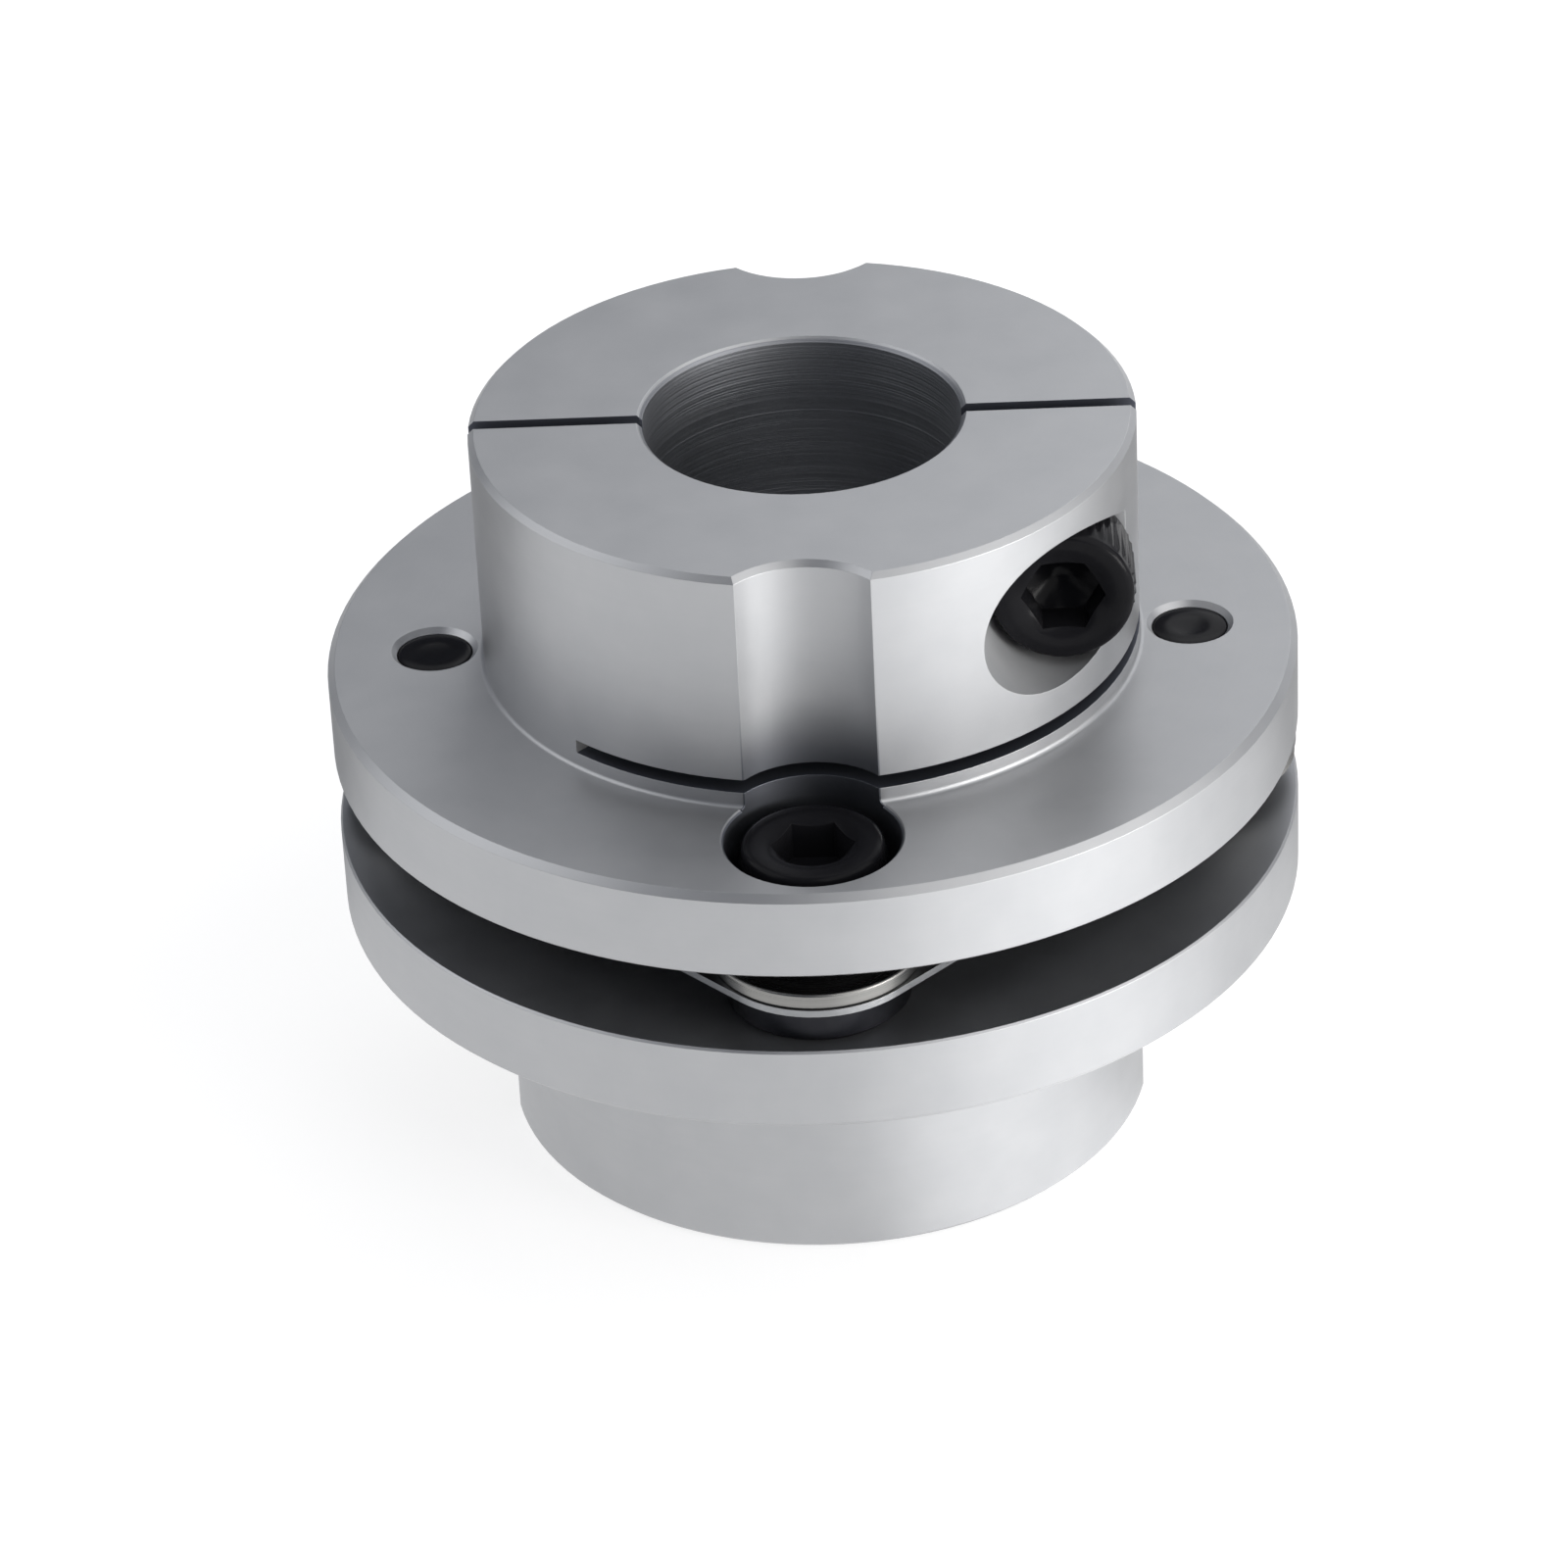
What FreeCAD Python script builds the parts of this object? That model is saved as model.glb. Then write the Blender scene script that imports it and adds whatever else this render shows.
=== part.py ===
import FreeCAD, Part
import math
import os

# Disc coupling for two 22 mm shafts: two clamp hubs joined by a pack of thin
# steel leaves. Millimetres. The origin is at the centre of the lower end
# face, and the common axis of both hubs is +Z.

# Hubs, the same stock for both
flange_diameter = 68.0
flange_thickness = 6.3
flange_chamfer = 0.5
gap_edge_chamfer = 0.15
boss_diameter = 46.0
boss_length = 17.7
boss_chamfer = 0.4
root_fillet = 0.3
bore_diameter = 22.0
bore_chamfer = 0.35
flange_gap = 6.0

# Screws through the leaves: centres of the four holes, 90 degrees apart
screw_circle_diameter = 53.0
access_hole_diameter = 12.0
access_hole_chamfer = 0.2
tap_mouth_chamfer = 0.38

# Sawn clamp slit, and the saw cut that frees the clamp arm from the flange
slit_width = 1.1
arm_slot_lip = 1.15
arm_slot_height = 1.0
arm_slot_angle = 134.0

# Seat of the clamp screw in the arm
counterbore_diameter = 11.0
counterbore_edge_wall = 0.1
clamp_seat_depth = 7.1
clamp_hole_clearance = 0.3

# Socket head cap screws, M6. Threads are plain cylinders at the pitch diameter,
# on the screws and in the tapped holes alike.
screw_diameter = 6.0
thread_pitch_diameter = 5.35
head_diameter = 10.0
head_height = 6.0
head_chamfer = 0.4
socket_width = 5.0
socket_depth = 3.0
socket_mouth_chamfer = 0.25
thread_end_chamfer = 0.45
clamp_screw_length = 20.0
disc_screw_end_recess = 0.3

# Leaf pack
leaf_count = 5
leaf_thickness = 0.1
leaf_corner_radius = 7.4
leaf_window_diameter = 30.0

# Polished washers and spring washers under the screw heads, and collars that
# space the leaves off the flange beyond
screw_hole_clearance = 0.15
washer_diameter = 14.6
washer_thickness = 1.15
washer_edge_round = 0.2
spring_washer_diameter = 9.8
spring_washer_thickness = 1.6
spring_washer_split = 0.8
spring_washer_split_angle = 20.0
collar_diameter = 12.6
collar_chamfer = 0.3

# Heights and radii worked out from the sizes above
hub_length = flange_thickness + boss_length
lower_face_z = hub_length
upper_face_z = hub_length + flange_gap
pack_thickness = leaf_count * leaf_thickness
collar_height = (flange_gap - pack_thickness) / 2.0
pack_bottom_z = lower_face_z + collar_height
pack_top_z = pack_bottom_z + pack_thickness
flange_radius = flange_diameter / 2.0
boss_radius = boss_diameter / 2.0
bore_radius = bore_diameter / 2.0
screw_circle_radius = screw_circle_diameter / 2.0
screw_radius = screw_diameter / 2.0
thread_radius = thread_pitch_diameter / 2.0
slot_bottom_z = flange_thickness + arm_slot_lip
slot_top_z = slot_bottom_z + arm_slot_height
clamp_z = (slot_top_z + hub_length) / 2.0
clamp_offset = boss_radius - counterbore_edge_wall - counterbore_diameter / 2.0
head_stand_off = washer_thickness + spring_washer_thickness
disc_screw_length = (head_stand_off + pack_thickness + collar_height
                     + flange_thickness - disc_screw_end_recess)
cut_over = 2.0

ROUND_STEPS = 4
X_AXIS = FreeCAD.Vector(1, 0, 0)
Y_AXIS = FreeCAD.Vector(0, 1, 0)
Z_AXIS = FreeCAD.Vector(0, 0, 1)
ORIGIN = FreeCAD.Vector(0, 0, 0)


def revolved(points):
    """Solid of revolution about Z. points are (radius, z) corners in order."""
    corners = [FreeCAD.Vector(r, 0, z) for r, z in points]
    face = Part.Face(Part.makePolygon(corners + corners[:1]))
    return face.revolve(ORIGIN, Z_AXIS, 360)


def rounded(centre_r, centre_z, radius, start, end):
    """Points of a small rounded corner from one angle to another, for revolved. Short
    tapers follow the arc, because they mesh evenly all the way round."""
    points = []
    for i in range(ROUND_STEPS + 1):
        angle = math.radians(start + (end - start) * i / ROUND_STEPS)
        points.append((centre_r + radius * math.cos(angle), centre_z + radius * math.sin(angle)))
    return points


def drill(radius, x, y, z_start, z_end):
    """Plain vertical cutter from z_start to z_end."""
    return Part.makeCylinder(radius, z_end - z_start, FreeCAD.Vector(x, y, z_start), Z_AXIS)


def countersink(radius, chamfer, x, y, z_face):
    """Cone that breaks the edge of a hole whose mouth is at z_face and opens upwards."""
    return Part.makeCone(radius, radius + chamfer, chamfer,
                         FreeCAD.Vector(x, y, z_face - chamfer), Z_AXIS)


def turned_blank():
    """Hub as it leaves the lathe: flange below, boss above, bore through.
    The flange's gap face is at z = 0."""
    root = rounded(boss_radius + root_fillet, flange_thickness + root_fillet, root_fillet, 270, 180)
    return revolved([
        (bore_radius + bore_chamfer, 0.0),
        (flange_radius - gap_edge_chamfer, 0.0),
        (flange_radius, gap_edge_chamfer),
        (flange_radius, flange_thickness - flange_chamfer),
        (flange_radius - flange_chamfer, flange_thickness),
    ] + root + [
        (boss_radius, hub_length - boss_chamfer),
        (boss_radius - boss_chamfer, hub_length),
        (bore_radius + bore_chamfer, hub_length),
        (bore_radius, hub_length - bore_chamfer),
        (bore_radius, bore_chamfer),
    ])


def access_cutters():
    """Two holes on the Y axis that let the facing hub's screw heads through.
    The drill runs on past the flange and leaves a scallop up the boss."""
    radius = access_hole_diameter / 2.0
    boss_guard = drill(boss_radius + root_fillet, 0, 0, 0, flange_thickness)
    cutters = []
    for side in (-1, 1):
        y = side * screw_circle_radius
        cutters.append(drill(radius, 0, y, -cut_over, hub_length + cut_over))
        cutters.append(countersink(radius, boss_chamfer, 0, y, hub_length))
        mouth = countersink(radius, access_hole_chamfer, 0, y, flange_thickness)
        cutters.append(mouth.cut(boss_guard))
    return cutters


def tapped_cutters():
    """Two tapped holes on the X axis for the screws that hold the leaves to this hub."""
    cutters = []
    for side in (-1, 1):
        x = side * screw_circle_radius
        cutters.append(drill(thread_radius, x, 0, -cut_over, flange_thickness + cut_over))
        cutters.append(countersink(thread_radius, tap_mouth_chamfer, x, 0, flange_thickness))
    return cutters


def slit_cutters(through_both_walls):
    """Saw cuts of the clamp: the upright slit along X, and the flat cut above the
    flange that frees the arm from the slit at 0 degrees back to -arm_slot_angle."""
    reach = boss_radius + cut_over
    start_x = -reach if through_both_walls else 0.0
    slit = Part.makeBox(reach - start_x, slit_width, hub_length + cut_over - slot_bottom_z,
                        FreeCAD.Vector(start_x, -slit_width / 2.0, slot_bottom_z))
    slot = Part.makeCylinder(reach, arm_slot_height, FreeCAD.Vector(0, 0, slot_bottom_z),
                             Z_AXIS, arm_slot_angle)
    slot.rotate(ORIGIN, Z_AXIS, -arm_slot_angle)
    return [slit, slot]


def clamp_cutters():
    """Counterbore open to -Y, clearance hole through the arm, thread through the
    wall beyond the slit."""
    reach = boss_radius + cut_over
    bore = Part.makeCylinder(counterbore_diameter / 2.0, reach - clamp_seat_depth,
                             FreeCAD.Vector(clamp_offset, -reach, clamp_z), Y_AXIS)
    passage = Part.makeCylinder(screw_radius + clamp_hole_clearance, clamp_seat_depth + cut_over,
                                FreeCAD.Vector(clamp_offset, -clamp_seat_depth - cut_over, clamp_z),
                                Y_AXIS)
    thread = Part.makeCylinder(thread_radius, reach,
                               FreeCAD.Vector(clamp_offset, 0, clamp_z), Y_AXIS)
    return [bore, passage, thread]


def clamp_hub(through_both_walls):
    """One hub, flange down with its gap face at z = 0, clamp screw on the +X side."""
    cutters = access_cutters() + tapped_cutters()
    cutters += slit_cutters(through_both_walls) + clamp_cutters()
    return turned_blank().cut(cutters).removeSplitter()


def cap_screw(length):
    """Socket head cap screw, seat of the head at z = 0, thread down."""
    head_radius = head_diameter / 2.0
    body = revolved([
        (0.0, -length),
        (thread_radius - thread_end_chamfer, -length),
        (thread_radius, -length + thread_end_chamfer),
        (thread_radius, 0.0),
        (head_radius, 0.0),
        (head_radius, head_height - head_chamfer),
        (head_radius - head_chamfer, head_height),
        (0.0, head_height),
    ])
    corner_radius = socket_width / 2.0 / math.cos(math.radians(30))
    corners = []
    for i in range(7):
        angle = math.radians(60 * i)
        corners.append(FreeCAD.Vector(corner_radius * math.cos(angle),
                                      corner_radius * math.sin(angle),
                                      head_height - socket_depth))
    hexagon = Part.Face(Part.makePolygon(corners))
    socket = hexagon.extrude(FreeCAD.Vector(0, 0, socket_depth + cut_over))
    drill_point = Part.makeCone(0, socket_width / 2.0, socket_width / 4.0,
                                FreeCAD.Vector(0, 0, head_height - socket_depth - socket_width / 4.0),
                                Z_AXIS)
    mouth = Part.makeCone(0, corner_radius + socket_mouth_chamfer, corner_radius + socket_mouth_chamfer,
                          FreeCAD.Vector(0, 0, head_height - corner_radius - socket_mouth_chamfer),
                          Z_AXIS)
    return body.cut([socket, drill_point, mouth])


def disc_leaf():
    """One stamped leaf, bottom at z = 0: a square on its corner, rounded about
    the four screw holes, with a round window for the shaft ends."""
    side = leaf_corner_radius * math.sqrt(0.5)
    edges = []
    for i in range(4):
        here = math.radians(90 * i)
        turn = FreeCAD.Rotation(Z_AXIS, 90 * i)
        centre = turn.multVec(FreeCAD.Vector(screw_circle_radius, 0, 0))
        first = centre + turn.multVec(FreeCAD.Vector(side, -side, 0))
        tip = centre + turn.multVec(FreeCAD.Vector(leaf_corner_radius, 0, 0))
        last = centre + turn.multVec(FreeCAD.Vector(side, side, 0))
        next_turn = FreeCAD.Rotation(Z_AXIS, 90 * (i + 1))
        next_first = next_turn.multVec(FreeCAD.Vector(screw_circle_radius + side, -side, 0))
        edges.append(Part.Arc(first, tip, last).toShape())
        edges.append(Part.LineSegment(last, next_first).toShape())
    blank = Part.Face(Part.Wire(edges)).extrude(FreeCAD.Vector(0, 0, leaf_thickness))
    holes = [drill(leaf_window_diameter / 2.0, 0, 0, -cut_over, cut_over)]
    for i in range(4):
        angle = math.radians(90 * i)
        holes.append(drill(screw_radius + screw_hole_clearance,
                           screw_circle_radius * math.cos(angle),
                           screw_circle_radius * math.sin(angle), -cut_over, cut_over))
    return blank.cut(holes)


def head_washer():
    """Polished washer between a screw head and the leaves, bottom at z = 0."""
    inner = screw_radius + screw_hole_clearance
    edge = washer_edge_round
    edge_r = washer_diameter / 2.0 - edge
    low_edge = rounded(edge_r, edge, edge, 270, 360)
    high_edge = rounded(edge_r, washer_thickness - edge, edge, 0, 90)
    return revolved([(inner, 0.0)] + low_edge + high_edge + [(inner, washer_thickness)])


def spring_washer():
    """Split spring washer, closed flat by the screw, bottom at z = 0. It is split
    on its +X side by a cut that leans over."""
    outer = spring_washer_diameter / 2.0
    inner = screw_radius + screw_hole_clearance
    ring = drill(outer, 0, 0, 0, spring_washer_thickness).cut(
        drill(inner, 0, 0, -cut_over, spring_washer_thickness + cut_over))
    split = Part.makeBox(outer + cut_over, spring_washer_split, spring_washer_thickness * 3.0,
                         FreeCAD.Vector(0, -spring_washer_split / 2.0, -spring_washer_thickness * 1.5))
    split.rotate(ORIGIN, X_AXIS, spring_washer_split_angle)
    split.translate(FreeCAD.Vector(0, 0, spring_washer_thickness / 2.0))
    return ring.cut(split)


def spacer_collar():
    """Collar between the leaves and the flange that the screw is driven into, bottom at z = 0."""
    outer = collar_diameter / 2.0
    inner = screw_radius + screw_hole_clearance
    return revolved([
        (inner, 0.0),
        (outer - collar_chamfer, 0.0),
        (outer, collar_chamfer),
        (outer, collar_height - collar_chamfer),
        (outer - collar_chamfer, collar_height),
        (inner, collar_height),
    ])


def placed(shape, x, y, z, flipped=False):
    """Copy of a shape, turned upside down first where flipped is set."""
    copy = shape.copy()
    if flipped:
        copy.rotate(ORIGIN, X_AXIS, 180)
    copy.translate(FreeCAD.Vector(x, y, z))
    return copy


def upper_hub():
    return placed(clamp_hub(True), 0, 0, upper_face_z)


def lower_hub():
    """The lower hub is turned over and a quarter turn round, so that its tapped
    holes face the upper hub's access holes. Its slit opens on one side only."""
    hub = clamp_hub(False)
    hub.rotate(ORIGIN, X_AXIS, 180)
    hub.rotate(ORIGIN, Z_AXIS, 90)
    hub.translate(FreeCAD.Vector(0, 0, lower_face_z))
    return hub


def clamp_screw_upper():
    screw = cap_screw(clamp_screw_length)
    screw.rotate(ORIGIN, X_AXIS, 90)
    screw.translate(FreeCAD.Vector(clamp_offset, -clamp_seat_depth, upper_face_z + clamp_z))
    return screw


def clamp_screw_lower():
    screw = cap_screw(clamp_screw_length)
    screw.rotate(ORIGIN, X_AXIS, 90)
    screw.translate(FreeCAD.Vector(clamp_offset, -clamp_seat_depth, clamp_z))
    screw.rotate(ORIGIN, X_AXIS, 180)
    screw.rotate(ORIGIN, Z_AXIS, 90)
    screw.translate(FreeCAD.Vector(0, 0, lower_face_z))
    return screw


def screw_stations():
    """The four places round the leaf pack: name, x, y, and whether the screw goes up
    from below, into the upper hub."""
    r = screw_circle_radius
    return [
        ("front", 0.0, -r, False),
        ("back", 0.0, r, False),
        ("left", -r, 0.0, True),
        ("right", r, 0.0, True),
    ]


def disc_pack_pieces():
    """Leaves, and at each station a screw, the two washers under its head and the
    collar on the far side of the leaves."""
    pieces = {}
    leaf = disc_leaf()
    for i in range(leaf_count):
        pieces["disc_leaf_%d" % (i + 1)] = placed(leaf, 0, 0, pack_bottom_z + i * leaf_thickness)
    screw = cap_screw(disc_screw_length)
    washer = head_washer()
    spring = spring_washer()
    collar = spacer_collar()
    for name, x, y, from_below in screw_stations():
        if from_below:
            seat_z = pack_bottom_z - head_stand_off
            pieces["disc_screw_" + name] = placed(screw, x, y, seat_z, flipped=True)
            pieces["spring_washer_" + name] = placed(spring, x, y, seat_z)
            pieces["head_washer_" + name] = placed(washer, x, y, pack_bottom_z - washer_thickness)
            pieces["spacer_collar_" + name] = placed(collar, x, y, pack_top_z)
        else:
            seat_z = pack_top_z + head_stand_off
            pieces["disc_screw_" + name] = placed(screw, x, y, seat_z)
            pieces["spring_washer_" + name] = placed(spring, x, y, pack_top_z + washer_thickness)
            pieces["head_washer_" + name] = placed(washer, x, y, pack_top_z)
            pieces["spacer_collar_" + name] = placed(collar, x, y, lower_face_z)
    return pieces


pieces = {
    "upper_hub": upper_hub(),
    "lower_hub": lower_hub(),
    "clamp_screw_upper": clamp_screw_upper(),
    "clamp_screw_lower": clamp_screw_lower(),
}
pieces.update(disc_pack_pieces())

os.makedirs("parts", exist_ok=True)
for node, shape in pieces.items():
    shape.exportStep("parts/%s.step" % node)
    print(node, len(shape.Solids), round(shape.Volume, 2), shape.isValid())
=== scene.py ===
import math

import bpy
import numpy as np
from mathutils import Matrix, Vector


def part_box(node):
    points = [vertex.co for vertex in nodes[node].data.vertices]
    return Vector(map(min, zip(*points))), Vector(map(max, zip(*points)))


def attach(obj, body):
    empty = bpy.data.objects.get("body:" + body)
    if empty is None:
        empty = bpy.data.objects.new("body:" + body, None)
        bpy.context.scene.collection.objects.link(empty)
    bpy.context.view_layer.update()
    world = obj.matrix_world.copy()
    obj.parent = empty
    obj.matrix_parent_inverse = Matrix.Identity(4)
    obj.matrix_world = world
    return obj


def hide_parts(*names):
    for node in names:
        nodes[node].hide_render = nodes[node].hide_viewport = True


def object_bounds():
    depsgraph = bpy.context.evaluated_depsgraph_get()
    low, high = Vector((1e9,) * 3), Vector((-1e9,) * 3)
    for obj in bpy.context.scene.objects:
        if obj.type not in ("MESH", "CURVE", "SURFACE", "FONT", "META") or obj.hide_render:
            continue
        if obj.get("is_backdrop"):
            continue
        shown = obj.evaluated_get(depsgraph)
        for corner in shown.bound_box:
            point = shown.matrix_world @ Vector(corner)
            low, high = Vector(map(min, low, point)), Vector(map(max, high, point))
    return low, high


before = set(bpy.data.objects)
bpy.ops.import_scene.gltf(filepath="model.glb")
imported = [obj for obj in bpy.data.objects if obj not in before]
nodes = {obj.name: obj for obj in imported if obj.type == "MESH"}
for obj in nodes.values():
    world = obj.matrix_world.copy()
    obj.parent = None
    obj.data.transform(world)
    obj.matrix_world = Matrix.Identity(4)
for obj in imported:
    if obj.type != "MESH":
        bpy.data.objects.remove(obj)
cad_low, cad_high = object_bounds()


# The two clamp hubs: flange and boss turned from one aluminium bar, drilled,
# counterbored and tapped, then slit with a saw and given a satin anodised
# finish. They carry everything else, and a pinch screw closes each on its shaft.

def feed(tree, socket, source):
    """Links a socket to another node's output, or gives it a plain value."""
    if isinstance(source, bpy.types.NodeSocket):
        tree.links.new(source, socket)
    else:
        socket.default_value = source


def fit(tree, kind, feeds=None, **settings):
    """Puts a node in a tree. feeds gives each input a value or another node's output."""
    node = tree.nodes.new(kind)
    for name, value in settings.items():
        setattr(node, name, value)
    for name, source in (feeds or {}).items():
        feed(tree, node.inputs[name], source)
    return node


def reckon(tree, operation, *values):
    """Math node on up to three values."""
    return fit(tree, "ShaderNodeMath", dict(enumerate(values)), operation=operation).outputs[0]


def noise(tree, vector, scale, detail, roughness=0.5):
    """Noise texture, a value from 0 to 1."""
    return fit(tree, "ShaderNodeTexNoise",
               {"Vector": vector, "Scale": scale, "Detail": detail, "Roughness": roughness}).outputs[0]


def new_tree(name, kind, takes, gives):
    """Empty node tree with named inputs and outputs, as (tree, its inputs, its outputs)."""
    tree = bpy.data.node_groups.new(name, kind)
    for label, holds, value in takes:
        socket = tree.interface.new_socket(label, in_out="INPUT", socket_type="NodeSocket" + holds)
        if value is not None:
            socket.default_value = value
    for label, holds in gives:
        tree.interface.new_socket(label, in_out="OUTPUT", socket_type="NodeSocket" + holds)
    return tree, tree.nodes.new("NodeGroupInput").outputs, tree.nodes.new("NodeGroupOutput").inputs


# Distance of a point from the axis that its surface was turned or drilled about.
# Off Axis is where that axis stands, along the first of the two coordinates.
axis_distance, taken, given = new_tree(
    "axis_distance", "ShaderNodeTree",
    [("Across", "Float", 0.0), ("Along", "Float", 0.0), ("Off Axis", "Float", 0.0)],
    [("Distance", "Float")])
outward = reckon(axis_distance, "SUBTRACT", taken["Across"], taken["Off Axis"])
squared = reckon(axis_distance, "MULTIPLY_ADD", outward, outward,
                 reckon(axis_distance, "MULTIPLY", taken["Along"], taken["Along"]))
feed(axis_distance, given["Distance"], reckon(axis_distance, "SQRT", squared))

# Tool marks: rings about the axis on faces, and lines round the walls
turned_marks, taken, given = new_tree(
    "turned_marks", "ShaderNodeTree",
    [("Distance", "Float", 0.0), ("Height", "Float", 0.0), ("Spacing", "Float", 0.0003)],
    [("Lines", "Float")])
tool_path = fit(turned_marks, "ShaderNodeCombineXYZ",
                {"X": taken["Distance"], "Z": taken["Height"]}).outputs[0]
tool_passes = fit(turned_marks, "ShaderNodeVectorMath",
                  {0: tool_path, "Scale": reckon(turned_marks, "DIVIDE", 1.0, taken["Spacing"])},
                  operation="SCALE").outputs[0]
feed(turned_marks, given["Lines"], noise(turned_marks, tool_passes, 1.0, 3.0, 0.6))

# Edges: a narrow round on every sharp edge, and a mask of where it is, rubbed unevenly
EDGE_GAIN = 6.0
EVEN_RUB = 0.35
RUBS_PER_METRE = 900.0
worn_edges, taken, given = new_tree(
    "worn_edges", "ShaderNodeTree",
    [("Place", "Vector", None), ("Round", "Float", 0.0001)],
    [("Normal", "Vector"), ("Edge", "Float")])
rounded = fit(worn_edges, "ShaderNodeBevel", {"Radius": taken["Round"]}, samples=6).outputs[0]
straight = fit(worn_edges, "ShaderNodeNewGeometry").outputs["Normal"]
agreement = fit(worn_edges, "ShaderNodeVectorMath", {0: rounded, 1: straight},
                operation="DOT_PRODUCT").outputs["Value"]
turned_away = reckon(worn_edges, "MULTIPLY", reckon(worn_edges, "SUBTRACT", 1.0, agreement), EDGE_GAIN)
rubbed = reckon(worn_edges, "ADD", noise(worn_edges, taken["Place"], RUBS_PER_METRE, 3.0), EVEN_RUB)
edge = fit(worn_edges, "ShaderNodeMath", {0: turned_away, 1: rubbed}, operation="MULTIPLY", use_clamp=True)
feed(worn_edges, given["Normal"], rounded)
feed(worn_edges, given["Edge"], edge.outputs[0])

# Grain of an etched or blackened surface, and the soft clouds that handling leaves
satin_grain, taken, given = new_tree(
    "satin_grain", "ShaderNodeTree",
    [("Place", "Vector", None), ("Grain Size", "Float", 0.00012), ("Cloud Size", "Float", 0.004)],
    [("Grain", "Float"), ("Cloud", "Float")])
for label, size, detail in (("Grain", "Grain Size", 2.0), ("Cloud", "Cloud Size", 4.0)):
    scale = reckon(satin_grain, "DIVIDE", 1.0, taken[size])
    feed(satin_grain, given[label], noise(satin_grain, taken["Place"], scale, detail, 0.55))


def placed_effect(tree, group, feeds):
    """Puts a finished group in a material and returns its outputs."""
    return fit(tree, "ShaderNodeGroup", feeds, node_tree=group).outputs


def from_axis(tree, across, along, off_axis=0.0):
    """Distance of a point from an axis that stands off_axis from the middle, across."""
    return placed_effect(tree, axis_distance,
                         {"Across": across, "Along": along, "Off Axis": off_axis})["Distance"]


def tooled(tree, distance, height, spacing):
    """Tool marks a spacing apart on a surface that was turned or drilled."""
    return placed_effect(tree, turned_marks,
                         {"Distance": distance, "Height": height, "Spacing": spacing})["Lines"]


def parts_of(tree, vector):
    """X, Y and Z of a vector."""
    return fit(tree, "ShaderNodeSeparateXYZ", {0: vector}).outputs


def finish(name, metallic=1.0, **constants):
    """New material with its Principled BSDF, as (material, tree, BSDF, object coordinates)."""
    material = bpy.data.materials.new(name)
    material.use_nodes = True
    tree = material.node_tree
    skin = tree.nodes["Principled BSDF"]
    skin.inputs["Metallic"].default_value = metallic
    for label, value in constants.items():
        skin.inputs[label.replace("_", " ")].default_value = value
    place = tree.nodes.new("ShaderNodeTexCoord").outputs["Object"]
    return material, tree, skin, place


def blend_colour(tree, share, first, second):
    """Mix of two colours by a mask."""
    node = fit(tree, "ShaderNodeMix", {0: share}, data_type="RGBA")
    colours = [socket for socket in node.inputs if socket.type == "RGBA"]
    feed(tree, colours[0], first)
    feed(tree, colours[1], second)
    return next(socket for socket in node.outputs if socket.type == "RGBA")


def choice(tree, share, first, second):
    """The first value where a mask is 0, the second where it is 1."""
    return reckon(tree, "MULTIPLY_ADD", share, reckon(tree, "SUBTRACT", second, first), first)


def spread(tree, share, low, high):
    """A mask from 0 to 1 laid out between two values."""
    return fit(tree, "ShaderNodeMapRange", {"Value": share, "To Min": low, "To Max": high}).outputs[0]


def fade(tree, value, start, end, low=0.0, high=1.0):
    """Goes smoothly from low to high while a value goes from start to end."""
    return fit(tree, "ShaderNodeMapRange",
               {"Value": value, "From Min": start, "From Max": end, "To Min": low, "To Max": high},
               interpolation_type="SMOOTHSTEP").outputs[0]


def within(tree, value, middle, half_width):
    """1 where a value lies near a middle, else 0."""
    return reckon(tree, "COMPARE", value, middle, half_width)


def strongest(tree, first, *others):
    """The largest of several masks at each point."""
    for mask in others:
        first = reckon(tree, "MAXIMUM", first, mask)
    return first


def edged(tree, edges, colour, bare, share):
    """A colour that turns to that of bare metal at the edges, by a share at most."""
    return blend_colour(tree, reckon(tree, "MULTIPLY", edges["Edge"], share), colour, bare)


def surface(tree, skin, edges, colour, roughness, relief, depth):
    """Gives a skin its colour and roughness, rounded edges, and a relief in steps of depth."""
    bump = fit(tree, "ShaderNodeBump",
               {"Strength": 1.0, "Distance": depth, "Height": relief, "Normal": edges["Normal"]})
    feed(tree, skin.inputs["Base Color"], colour)
    feed(tree, skin.inputs["Roughness"], roughness)
    feed(tree, skin.inputs["Normal"], bump.outputs[0])


def coat(material, *starts):
    """Gives a material to each CAD node whose name starts as said."""
    for name in sorted(nodes):
        if name.startswith(starts):
            nodes[name].material_slots[0].material = material


# Sizes of a hub. Both are alike about the gap's middle, the lower one a quarter turn
# round, so heights are measured from there, and across and along from each hub's own
# clamp slit.
MID_GAP = (cad_low.z + cad_high.z) / 2
HALF_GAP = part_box("upper_hub")[0].z - MID_GAP
END_HEIGHT = cad_high.z - MID_GAP
FLANGE_THICKNESS = 0.0063
BOSS_RADIUS = 0.0230
BORE_RADIUS = 0.0110
STATION_RADIUS = 0.0265
ACCESS_HOLE_RADIUS = 0.0060
CLAMP_SLIT_WIDTH = 0.0011
ARM_SLOT_LIP = 0.00115
ARM_SLOT_WIDTH = 0.0010
COUNTERBORE_RADIUS = 0.0055
COUNTERBORE_EDGE_WALL = 0.0001
FLANGE_FACE_HEIGHT = HALF_GAP + FLANGE_THICKNESS
ARM_SLOT_HEIGHT = FLANGE_FACE_HEIGHT + ARM_SLOT_LIP + ARM_SLOT_WIDTH / 2
CLAMP_HEIGHT = (ARM_SLOT_HEIGHT + ARM_SLOT_WIDTH / 2 + END_HEIGHT) / 2
CLAMP_OFFSET = BOSS_RADIUS - COUNTERBORE_EDGE_WALL - COUNTERBORE_RADIUS

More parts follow.
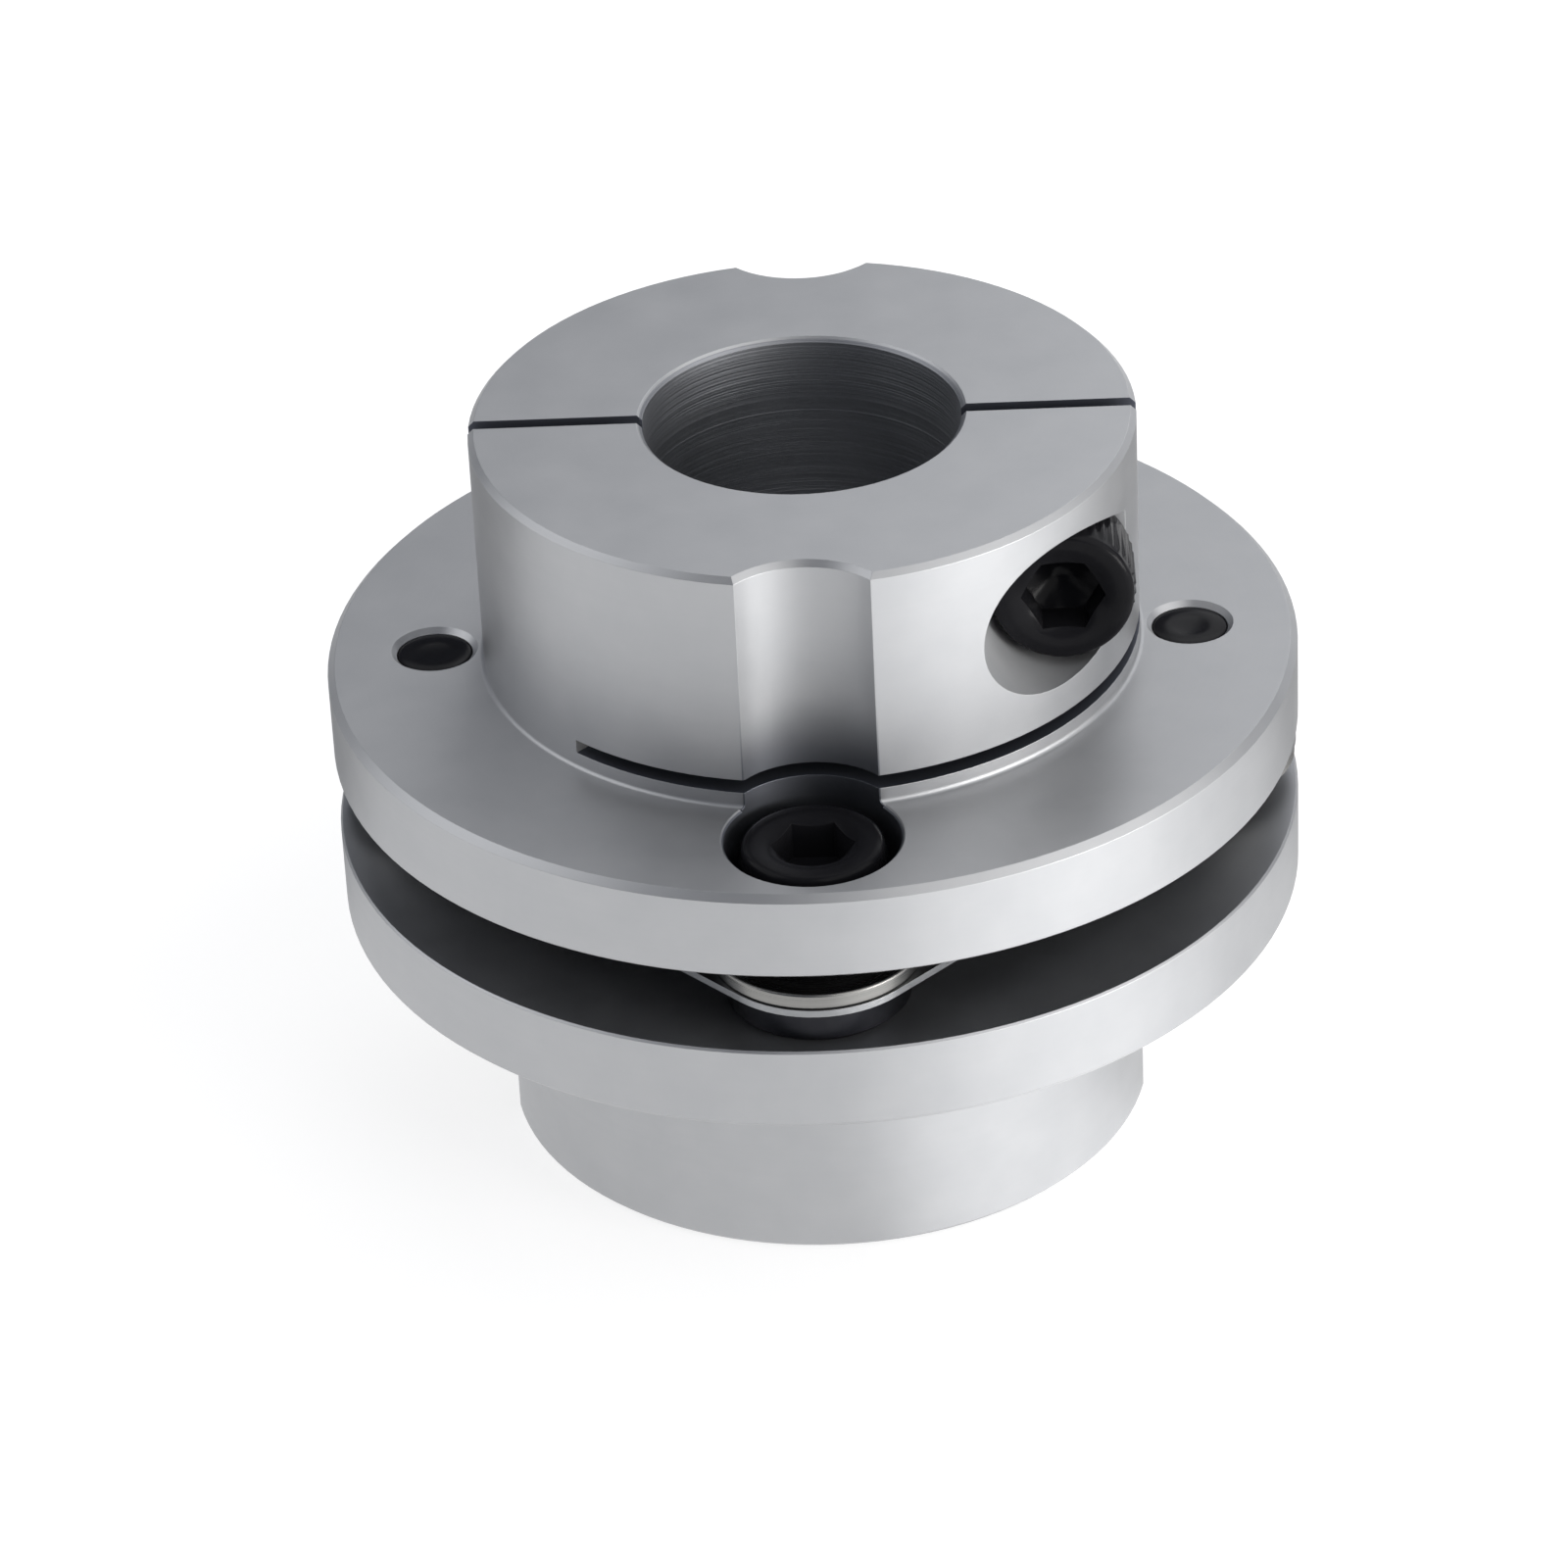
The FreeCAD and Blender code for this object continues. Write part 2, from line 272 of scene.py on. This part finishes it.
# How far a mask reaches past the surface that it is for, and how squarely a surface
# has to face a direction to count as facing it
SNUG = 0.00003
CLOSE = 0.0001
NEAR = 0.0002
SQUARE_ON = 0.9

# Where a point of a hub is, and where its surface faces
anodised, tree, skin, place = finish("satin_anodised_aluminium")
x, y, z = parts_of(tree, place)
height = reckon(tree, "SUBTRACT", z, MID_GAP)
from_gap = reckon(tree, "ABSOLUTE", height)
upper = reckon(tree, "GREATER_THAN", height, 0.0)
along_slit = choice(tree, upper, y, x)
from_slit = reckon(tree, "ABSOLUTE", choice(tree, upper, x, y))
hub_distance = from_axis(tree, x, y)
hole_distance = from_axis(tree, from_slit, along_slit, STATION_RADIUS)
seat_distance = from_axis(tree, along_slit, reckon(tree, "SUBTRACT", from_gap, CLAMP_HEIGHT), CLAMP_OFFSET)
face_x, face_y, face_z = parts_of(tree, fit(tree, "ShaderNodeNewGeometry").outputs["True Normal"])
level = reckon(tree, "GREATER_THAN", reckon(tree, "ABSOLUTE", face_z), SQUARE_ON)
facing_slit = reckon(tree, "ABSOLUTE", choice(tree, upper, face_x, face_y))

# Sawn: the faces of the arm slot and the walls of the clamp slit
slot_face = reckon(tree, "MULTIPLY", level,
                   within(tree, from_gap, ARM_SLOT_HEIGHT, ARM_SLOT_WIDTH / 2 + CLOSE))
slit_face = reckon(tree, "MULTIPLY", reckon(tree, "GREATER_THAN", facing_slit, SQUARE_ON),
                   within(tree, from_slit, CLAMP_SLIT_WIDTH / 2, SNUG))
sawn = strongest(tree, slot_face, slit_face)

# Painted shade: a little on the gap's faces and much on the access holes' walls, and from
# the arm slot it fades up the scallops, darker towards the bottom
GAP_SHADE = 0.3
HOLE_SHADE = 0.85
SCALLOP_SHADE = 0.8
SHADE_FADE_TOP = 0.0175
gap_face = reckon(tree, "MULTIPLY", level, reckon(tree, "LESS_THAN", from_gap, HALF_GAP + NEAR))
hole_wall = reckon(tree, "MULTIPLY", reckon(tree, "LESS_THAN", from_gap, ARM_SLOT_HEIGHT),
                   reckon(tree, "LESS_THAN", hole_distance, ACCESS_HOLE_RADIUS + SNUG))
drilled = reckon(tree, "LESS_THAN", hole_distance, ACCESS_HOLE_RADIUS + CLOSE)
scallop_shade = fade(tree, from_gap, ARM_SLOT_HEIGHT, SHADE_FADE_TOP, SCALLOP_SHADE, 0.0)
painted_recess_shade = strongest(tree, reckon(tree, "MULTIPLY", gap_face, GAP_SHADE),
                  reckon(tree, "MULTIPLY", hole_wall, HOLE_SHADE), reckon(tree, "MULTIPLY", drilled, scallop_shade))

# Cut with other tools: the bored wall with deep ring marks, and the flange's face and
# the counterbore coarser than the rest
FLANGE_COARSENESS = 0.5
COUNTERBORE_COARSENESS = 2.0
bored = reckon(tree, "MULTIPLY", reckon(tree, "SUBTRACT", 1.0, level),
               reckon(tree, "LESS_THAN", hub_distance, BORE_RADIUS + NEAR))
flange_face = reckon(tree, "MULTIPLY", level, within(tree, from_gap, FLANGE_FACE_HEIGHT, NEAR))
counterbored = reckon(tree, "MULTIPLY", reckon(tree, "LESS_THAN", hub_distance, BOSS_RADIUS - SNUG),
                      reckon(tree, "LESS_THAN", seat_distance, COUNTERBORE_RADIUS + SNUG))
coarser = strongest(tree, sawn, reckon(tree, "MULTIPLY", flange_face, FLANGE_COARSENESS),
                    reckon(tree, "MULTIPLY", counterbored, COUNTERBORE_COARSENESS))

# The anodised skin: cloudy grey, bare at the edges, and a dark blue grey painted shade in the sawn slot and
# slit, the gap, the access holes, the scallops and the bore
BORE_SHADE = 0.5
BORE_ROUGHNESS = 0.06
COARSE_ROUGHNESS = 0.12
BORE_MARKS = 36.0
GRAIN_SHARE = 0.5
edges = placed_effect(tree, worn_edges, {"Place": place, "Round": 0.00006})
grain = placed_effect(tree, satin_grain, {"Place": place, "Grain Size": 0.00011, "Cloud Size": 0.0045})
marks = tooled(tree, choice(tree, drilled, hub_distance, hole_distance), z, 0.00030)
body_colour = blend_colour(tree, grain["Cloud"], (0.425, 0.432, 0.446, 1), (0.505, 0.510, 0.520, 1))
edge_colour = edged(tree, edges, body_colour, (0.64, 0.64, 0.64, 1), 0.4)
# Painted shade: how far the colour turns to dark blue grey at each point
painted_shade = strongest(tree, sawn, painted_recess_shade, reckon(tree, "MULTIPLY", bored, BORE_SHADE))
blasted = reckon(tree, "ADD", spread(tree, grain["Cloud"], 0.42, 0.50), spread(tree, marks, -0.03, 0.03))
roughened = reckon(tree, "MULTIPLY_ADD", coarser, COARSE_ROUGHNESS, blasted)
mark_height = reckon(tree, "MULTIPLY", marks, reckon(tree, "MULTIPLY_ADD", bored, BORE_MARKS, 1.0))
surface(tree, skin, edges,
        colour=blend_colour(tree, painted_shade, edge_colour, (0.14, 0.15, 0.18, 1)),
        roughness=reckon(tree, "MULTIPLY_ADD", bored, BORE_ROUGHNESS, roughened),
        relief=reckon(tree, "MULTIPLY_ADD", grain["Grain"], GRAIN_SHARE, mark_height), depth=2.5e-6)
coat(anodised, "upper_hub", "lower_hub")


# The leaf pack: five square leaves stamped from thin spring steel strip, with
# the grain of the rolling mill along X. They bend and let the shafts be out of
# line, and the screws hold them by their corners.
STREAKS_PER_METRE = (60.0, 5000.0, 5000.0)
spring_steel, tree, skin, place = finish("rolled_spring_steel")
edges = placed_effect(tree, worn_edges, {"Place": place, "Round": 0.00003})
rolled = fit(tree, "ShaderNodeMapping", {"Vector": place, "Scale": STREAKS_PER_METRE}).outputs[0]
streaks = noise(tree, rolled, 1.0, 3.0, 0.6)
strip_colour = blend_colour(tree, streaks, (0.25, 0.26, 0.27, 1), (0.38, 0.385, 0.395, 1))
surface(tree, skin, edges,
        colour=edged(tree, edges, strip_colour, (0.52, 0.52, 0.52, 1), 1.0),
        roughness=spread(tree, streaks, 0.22, 0.40),
        relief=streaks, depth=1.5e-6)
coat(spring_steel, "disc_leaf_")


# Head washers: hardened and polished rings between each screw head and the
# leaves, with a rounded rim, so that the leaves bend over a smooth edge.
def station_distance(tree, place):
    """Distance from the nearest of the four screws' axes, and the height."""
    x, y, z = parts_of(tree, place)
    x = reckon(tree, "ABSOLUTE", x)
    y = reckon(tree, "ABSOLUTE", y)
    outward = reckon(tree, "MAXIMUM", x, y)
    sideways = reckon(tree, "MINIMUM", x, y)
    return from_axis(tree, outward, sideways, STATION_RADIUS), z


polished, tree, skin, place = finish("polished_washer_steel")
distance, z = station_distance(tree, place)
marks = tooled(tree, distance, z, 0.00018)
edges = placed_effect(tree, worn_edges, {"Place": place, "Round": 0.00006})
surface(tree, skin, edges,
        colour=blend_colour(tree, marks, (0.15, 0.15, 0.148, 1), (0.36, 0.355, 0.34, 1)),
        roughness=spread(tree, marks, 0.20, 0.36),
        relief=marks, depth=2.0e-6)
coat(polished, "head_washer_")


# Spacer collars: turned steel rings, coloured near black, that hold
# the leaves off the flange which the screw is driven into.
near_black_steel, tree, skin, place = finish("near_black_collar_steel")
distance, z = station_distance(tree, place)
marks = tooled(tree, distance, z, 0.00022)
edges = placed_effect(tree, worn_edges, {"Place": place, "Round": 0.00006})
grain = placed_effect(tree, satin_grain, {"Place": place, "Grain Size": 0.00008, "Cloud Size": 0.002})
near_black_colour = blend_colour(tree, grain["Cloud"], (0.014, 0.015, 0.019, 1), (0.034, 0.034, 0.038, 1))
surface(tree, skin, edges,
        colour=edged(tree, edges, near_black_colour, (0.16, 0.16, 0.16, 1), 0.4),
        roughness=spread(tree, marks, 0.26, 0.42),
        relief=marks, depth=1.5e-6)
coat(near_black_steel, "spacer_collar_")


# Spring washers: rings of square wire, cut through on a slant and closed flat
# by the screw, with the same oiled black oxide as the screws.
black_oxide, tree, skin, place = finish("oiled_black_oxide", metallic=0.0, Specular_IOR_Level=0.06)
edges = placed_effect(tree, worn_edges, {"Place": place, "Round": 0.00008})
grain = placed_effect(tree, satin_grain, {"Place": place, "Grain Size": 0.00009, "Cloud Size": 0.0018})
oxide_colour = blend_colour(tree, grain["Cloud"], (0.009, 0.009, 0.0105, 1), (0.014, 0.014, 0.016, 1))
surface(tree, skin, edges,
        colour=edged(tree, edges, oxide_colour, (0.035, 0.034, 0.033, 1), 0.35),
        roughness=spread(tree, grain["Cloud"], 0.12, 0.22),
        relief=grain["Grain"], depth=3.0e-6)
coat(black_oxide, "spring_washer_")


# Cap screws: six M6 socket head screws of alloy steel, headed cold, knurled,
# thread rolled, then blackened and oiled. Four hold the leaves, one pinches
# each hub on its shaft. The blank is in millimetres, its head's seat at z = 0.
MM = 0.001
SIDES = 168
SIDES_PER_KNURL = 4
CORE_RADIUS = 2.44
TIP_HOLLOW = 0.2
HEAD_HEIGHT = 6.0
HEAD_RADIUS = 4.84
HEAD_ROUND = 0.50
KNURL_ROOT_RADIUS = 4.82
KNURL_HEIGHT = 0.17
SOCKET_HALF_WIDTH = 2.5
SOCKET_MOUTH_RADIUS = 3.16
SOCKET_MOUTH_SLOPE = 0.62
DRILL_POINT = 1.72
SHARP_EDGE = 32


def screw_blank(name, length):
    """Mesh of the screw before its thread is rolled: a ring of points for each row of
    radius and height, from the tip round the head and down into the hexagon socket."""
    side = np.arange(SIDES)
    turn = side * 2 * math.pi / SIDES
    hexagon = SOCKET_HALF_WIDTH / np.cos(2 * math.pi * (side % (SIDES // 6)) / SIDES - math.pi / 6)
    half = SIDES_PER_KNURL // 2
    knurl = KNURL_ROOT_RADIUS + KNURL_HEIGHT * (1 - np.abs(side % SIDES_PER_KNURL - half) / half)
    tip = [(1.20, -length), (2.36, -length), (2.54, 0.06 - length), (2.64, 0.20 - length),
           (2.64, 0.40 - length), (CORE_RADIUS, 0.60 - length)]
    neck = [(CORE_RADIUS, -1.10), (2.62, -0.72), (2.90, -0.45), (3.00, -0.10), (3.05, 0.0)]
    seat = [(4.45, 0.0), (4.72, 0.12), (HEAD_RADIUS, 0.34), (HEAD_RADIUS, 0.60)]
    grip = [(knurl, 0.85), (knurl, 4.95), (HEAD_RADIUS, 5.20), (HEAD_RADIUS, HEAD_HEIGHT - HEAD_ROUND)]
    rim = [(HEAD_RADIUS - HEAD_ROUND + HEAD_ROUND * math.cos(angle),
            HEAD_HEIGHT - HEAD_ROUND + HEAD_ROUND * math.sin(angle))
           for angle in np.radians((18, 36, 54, 72, 90))]
    mouth = [(SOCKET_MOUTH_RADIUS, HEAD_HEIGHT),
             (hexagon, HEAD_HEIGHT - SOCKET_MOUTH_SLOPE * (SOCKET_MOUTH_RADIUS - hexagon))]
    socket = [(hexagon, 3.06), (2.42, 2.98), (0.9, 2.2)]
    rows = tip + neck + seat + grip + rim + mouth + socket
    points = []
    for radius, height in rows:
        radius = np.broadcast_to(radius, SIDES)
        points += zip(radius * np.cos(turn), radius * np.sin(turn), np.broadcast_to(height, SIDES))
    faces = []
    for row in range(len(rows) - 1):
        for this, following in zip(side, np.roll(side, -1)):
            faces.append([row * SIDES + i for i in (this, following, following + SIDES, this + SIDES)])
    last_ring = (len(rows) - 1) * SIDES
    for height, first, order in ((TIP_HOLLOW - length, 0, -1), (DRILL_POINT, last_ring, 1)):
        points.append((0.0, 0.0, height))
        for this, following in zip(side, np.roll(side, -1)):
            faces.append([first + this, first + following, len(points) - 1][::order])
    mesh = bpy.data.meshes.new(name)
    mesh.from_pydata([[MM * float(c) for c in point] for point in points], [], faces)
    mesh.shade_smooth()
    mesh.set_sharp_from_angle(angle=math.radians(SHARP_EDGE))
    return mesh


# A thread ridge's half width at root and crest, as shares of the pitch, the turns
# that it takes to rise at each end, and how much of it is there at its very end
ROOT_SHARE = 0.44
CREST_SHARE = 0.07
RISING_TURNS = 0.5
END_SHARE = 0.02


def helix_ridge(tree, taken, side):
    """Right-hand thread ridge on a helix of the tree's Core Radius, Pitch and Turns from
    z = Start. It stands out by Depth where side is 1, in where side is -1, and runs out
    at both ends."""
    rise = reckon(tree, "MULTIPLY", taken["Pitch"], taken["Turns"])
    helix = fit(tree, "GeometryNodeCurveSpiral",
                {"Resolution": 40, "Rotations": taken["Turns"], "Start Radius": taken["Core Radius"],
                 "End Radius": taken["Core Radius"], "Height": rise, "Reverse": True}).outputs[0]
    upright = fit(tree, "GeometryNodeSetCurveNormal", {"Curve": helix}, mode="Z_UP").outputs[0]
    crest = reckon(tree, "MULTIPLY", taken["Depth"], float(side))
    corners = {}
    for reach, share in ((0.0, -ROOT_SHARE), (crest, -CREST_SHARE), (crest, CREST_SHARE), (0.0, ROOT_SHARE)):
        height = reckon(tree, "MULTIPLY", taken["Pitch"], share * side)
        corner = fit(tree, "ShaderNodeCombineXYZ", {"X": reach, "Y": height}).outputs[0]
        corners["Point %d" % (len(corners) + 1)] = corner
    flanks = fit(tree, "GeometryNodeCurvePrimitiveQuadrilateral", corners, mode="POINTS").outputs[0]
    along = fit(tree, "GeometryNodeSplineParameter").outputs["Factor"]
    nearer_end = reckon(tree, "MINIMUM", along, reckon(tree, "SUBTRACT", 1.0, along))
    turns_in = reckon(tree, "MULTIPLY", nearer_end, taken["Turns"])
    run_out = reckon(tree, "MINIMUM", 1.0,
                     reckon(tree, "MULTIPLY_ADD", turns_in, 1 / RISING_TURNS, END_SHARE))
    ridge = fit(tree, "GeometryNodeCurveToMesh",
                {"Curve": upright, "Profile Curve": flanks, "Scale": run_out, "Fill Caps": True}).outputs[0]
    crisp = fit(tree, "GeometryNodeSetShadeSmooth", {"Geometry": ridge, "Shade Smooth": False}).outputs[0]
    up = fit(tree, "ShaderNodeCombineXYZ", {"Z": taken["Start"]}).outputs[0]
    return fit(tree, "GeometryNodeTransform", {"Geometry": crisp, "Translation": up}).outputs[0]


def seated(tree, taken, geometry):
    """Lays a geometry along a tree's Lie, with its origin at the tree's Seat."""
    return fit(tree, "GeometryNodeTransform",
               {"Geometry": geometry, "Translation": taken["Seat"], "Rotation": taken["Lie"]}).outputs[0]


def dressed(tree, taken, geometry):
    """Realizes a geometry's instances and gives it the tree's Finish."""
    real = fit(tree, "GeometryNodeRealizeInstances", {"Geometry": geometry}).outputs[0]
    return fit(tree, "GeometryNodeSetMaterial", {"Geometry": real, "Material": taken["Finish"]}).outputs[0]


def made_from(name, mesh, tree, **values):
    """Runs a tree on a mesh with the given inputs and keeps the result as a plain object."""
    mesh.materials.append(values["Finish"])
    source = bpy.data.objects.new(name + "_source", mesh)
    bpy.context.scene.collection.objects.link(source)
    modifier = source.modifiers.new(name, "NODES")
    modifier.node_group = tree
    for socket in tree.interface.items_tree:
        if socket.in_out == "INPUT" and socket.name in values:
            modifier[socket.identifier] = values[socket.name]
    result = bpy.data.meshes.new_from_object(source.evaluated_get(bpy.context.evaluated_depsgraph_get()))
    bpy.data.objects.remove(source)
    result.name = name
    made = bpy.data.objects.new(name, result)
    bpy.context.scene.collection.objects.link(made)
    return made


thread_roller, taken, given = new_tree(
    "thread_roller", "GeometryNodeTree",
    [("Blank", "Geometry", None), ("Core Radius", "Float", MM * CORE_RADIUS), ("Depth", "Float", 0.0005),
     ("Pitch", "Float", 0.001), ("Turns", "Float", 10.0), ("Start", "Float", 0.0),
     ("Seat", "Vector", (0, 0, 0)), ("Lie", "Rotation", (0, 0, 0)), ("Finish", "Material", None)],
    [("Made", "Geometry")])
whole = thread_roller.nodes.new("GeometryNodeJoinGeometry")
for solid in (taken["Blank"], helix_ridge(thread_roller, taken, 1)):
    feed(thread_roller, whole.inputs[0], solid)
driven = seated(thread_roller, taken, whole.outputs[0])
feed(thread_roller, given["Made"], dressed(thread_roller, taken, driven))

# Which way each screw's head faces. The clamp screws' ridges are shallow, so that they
# stay inside the boss where their holes run close to its surface. A ridge starts just
# in from the tip and ends at the neck, which leaves PLAIN_LENGTH of the screw in all.
UP = Vector((0, 0, 1))
head_sides = {
    "disc_screw_front": UP,
    "disc_screw_back": UP,
    "disc_screw_left": -UP,
    "disc_screw_right": -UP,
    "clamp_screw_upper": Vector((0, -1, 0)),
    "clamp_screw_lower": Vector((-1, 0, 0)),
}
THREAD_DEPTH = 0.50
CLAMP_THREAD_DEPTH = 0.21
RIDGE_START = 0.14
PLAIN_LENGTH = 1.3
driven_at = {}
for name, head_side in head_sides.items():
    low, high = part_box(name)
    overall = abs((high - low).dot(head_side))
    length = (overall - MM * HEAD_HEIGHT) / MM
    if head_side == -UP:
        lie = Matrix.Rotation(math.pi, 4, "X")
    else:
        lie = UP.rotation_difference(head_side).to_matrix()
    seat = (low + high) / 2 + head_side * (overall / 2 - MM * HEAD_HEIGHT)
    driven_at[name] = {"Seat": seat[:], "Lie": lie.to_euler()[:]}
    depth = CLAMP_THREAD_DEPTH if name.startswith("clamp") else THREAD_DEPTH
    screw = made_from(name + "_threaded", screw_blank(name, length), thread_roller,
                      Turns=length - PLAIN_LENGTH, Start=MM * (RIDGE_START - length),
                      Depth=MM * depth, Finish=black_oxide, **driven_at[name])
    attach(screw, "root")
    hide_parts(name)


# Tapped threads in the clamp arms: they show in the open end of each hole, past the
# tip of its clamp screw, and stop where the hole breaks out of the round boss.
SKIN_DEPTH = 0.00002
thread_tap, taken, given = new_tree(
    "thread_tap", "GeometryNodeTree",
    [("Core Radius", "Float", 0.00272), ("Depth", "Float", 0.00026), ("Pitch", "Float", 0.001),
     ("Turns", "Float", 5.0), ("Start", "Float", -0.0251),
     ("Boss Radius", "Float", BOSS_RADIUS - SKIN_DEPTH),
     ("Seat", "Vector", (0, 0, 0)), ("Lie", "Rotation", (0, 0, 0)), ("Finish", "Material", None)],
    [("Made", "Geometry")])
ridge = seated(thread_tap, taken, helix_ridge(thread_tap, taken, -1))
boss = fit(thread_tap, "GeometryNodeMeshCylinder",
           {"Vertices": 360, "Radius": taken["Boss Radius"], "Depth": 0.2}).outputs["Mesh"]
trimmed = thread_tap.nodes.new("GeometryNodeMeshBoolean")
trimmed.operation = "INTERSECT"
trimmed.solver = "EXACT"
for solid in (ridge, boss):
    feed(thread_tap, trimmed.inputs[1], solid)
feed(thread_tap, given["Made"], dressed(thread_tap, taken, trimmed.outputs[0]))

for name in ("clamp_screw_upper", "clamp_screw_lower"):
    thread = made_from(name + "_hole_thread", bpy.data.meshes.new(name), thread_tap,
                       Finish=anodised, **driven_at[name])
    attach(thread, "root")


# Pale table: white paper that the lamps light and that glows by itself, more so far
# off, with a painted pool of light towards the main lamp. The camera sees all of the glow,
# and metal all but that of a strip behind the coupling, a painted shade in its reflections.
REACH = 2.5
TABLE_HEIGHT = -0.0002
SHADE_STRIP_START = (0.012, 0.038)
SHADE_STRIP_END = (0.10, 0.18)
FAR_OFF = (0.12, 0.45)
PAINTED_POOL_ANGLES = (40, 5)
PAPER_GLOW = 0.75
FAR_GLOW = 0.25
PAINTED_POOL_GLOW = 0.55
floor_mesh = bpy.data.meshes.new("floor")
floor_mesh.from_pydata([(side_x * REACH, side_y * REACH, TABLE_HEIGHT)
                        for side_x, side_y in ((-1, -1), (1, -1), (1, 1), (-1, 1))], [], [(0, 1, 2, 3)])
floor = bpy.data.objects.new("floor", floor_mesh)
bpy.context.scene.collection.objects.link(floor)
paper = bpy.data.materials.new("white_paper")
paper.use_nodes = True
tree = paper.node_tree
tree.nodes.remove(tree.nodes["Principled BSDF"])
across, depth, _ = parts_of(tree, tree.nodes.new("ShaderNodeTexCoord").outputs["Object"])
radius = from_axis(tree, across, depth)
before_strip = fade(tree, depth, *SHADE_STRIP_START, 1.0, 0.0)
beyond_strip = fade(tree, depth, *SHADE_STRIP_END)
ray = fit(tree, "ShaderNodeLightPath").outputs
# Painted shade in the metal's reflections: glossy rays miss the glow over a strip behind the coupling
shine = reckon(tree, "MULTIPLY", ray["Is Glossy Ray"], strongest(tree, before_strip, beyond_strip))
seen = strongest(tree, ray["Is Camera Ray"], shine)
# Painted pool of light: more glow towards the main lamp, which the metal shows as a painted reflection
towards_lamp = reckon(tree, "DIVIDE", reckon(tree, "SUBTRACT", across, depth), radius)
painted_pool_edges = [math.sqrt(2) * math.cos(math.radians(angle)) for angle in PAINTED_POOL_ANGLES]
painted_light_pool = reckon(tree, "MULTIPLY", fade(tree, towards_lamp, *painted_pool_edges),
              reckon(tree, "GREATER_THAN", radius, BOSS_RADIUS))
far_off = fade(tree, radius, *FAR_OFF)
whiteness = reckon(tree, "MULTIPLY_ADD", painted_light_pool, PAINTED_POOL_GLOW,
                   reckon(tree, "MULTIPLY_ADD", far_off, FAR_GLOW, PAPER_GLOW))
matt_paper = fit(tree, "ShaderNodeBsdfDiffuse", {"Color": (0.40, 0.40, 0.40, 1)}).outputs[0]
glow = fit(tree, "ShaderNodeEmission", {"Color": reckon(tree, "MULTIPLY", seen, whiteness), "Strength": 1.0})
lit_paper = fit(tree, "ShaderNodeAddShader", {0: matt_paper, 1: glow.outputs[0]})
feed(tree, tree.nodes["Material Output"].inputs["Surface"], lit_paper.outputs[0])
floor_mesh.materials.append(paper)
floor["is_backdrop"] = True

# The room: white to the camera, dim and a little blue as light and in reflections
world = bpy.data.worlds.new("studio")
world.use_nodes = True
bpy.context.scene.world = world
tree = world.node_tree
direct = fit(tree, "ShaderNodeLightPath").outputs["Is Camera Ray"]
feed(tree, tree.nodes["Background"].inputs["Color"],
     blend_colour(tree, direct, (0.07, 0.08, 0.105, 1), (1, 1, 1, 1)))


def lamp(name, place, size, watts, colour=(1, 1, 1)):
    """Rectangular softbox that faces the middle of the coupling."""
    data = bpy.data.lights.new(name, "AREA")
    data.shape = "RECTANGLE"
    data.size, data.size_y = size
    data.energy = watts
    data.color = colour
    box = bpy.data.objects.new(name, data)
    bpy.context.scene.collection.objects.link(box)
    box.location = place
    box.visible_camera = False
    centre = (cad_low + cad_high) / 2
    box.rotation_euler = (centre - box.location).to_track_quat("-Z", "Y").to_euler()


# The main lamp stands to the front right, with a low one under it for the boss's side
WARM = (1.0, 0.985, 0.96)
lamp("key_right", (0.43, -0.25, 0.34), (0.95, 0.85), 3.4, WARM)
lamp("key_low", (0.43, -0.25, 0.088), (0.24, 0.17), 1.4, WARM)
lamp("fill_left", (-0.40, 0.0, 0.327), (0.50, 0.50), 0.98)
lamp("back_right", (0.303, 0.525, 0.377), (0.60, 0.60), 1.20)
lamp("back_top", (0.0, 0.25, 0.46), (0.40, 0.40), 0.50)

# The camera, at the photograph's angle
camera_data = bpy.data.cameras.new("camera")
camera = bpy.data.objects.new("camera", camera_data)
bpy.context.scene.collection.objects.link(camera)
camera.location = (0.0085612, -0.4011494, 0.2724474)
camera.rotation_euler = [math.radians(angle) for angle in (58.21775, 2.425075, 0.070846)]
camera_data.sensor_width = 36.0
camera_data.lens = 152.4
camera_data.clip_start = 0.01
camera_data.clip_end = 20.0
bpy.context.scene.camera = camera
bpy.context.scene.view_settings.view_transform = "Standard"

low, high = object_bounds()
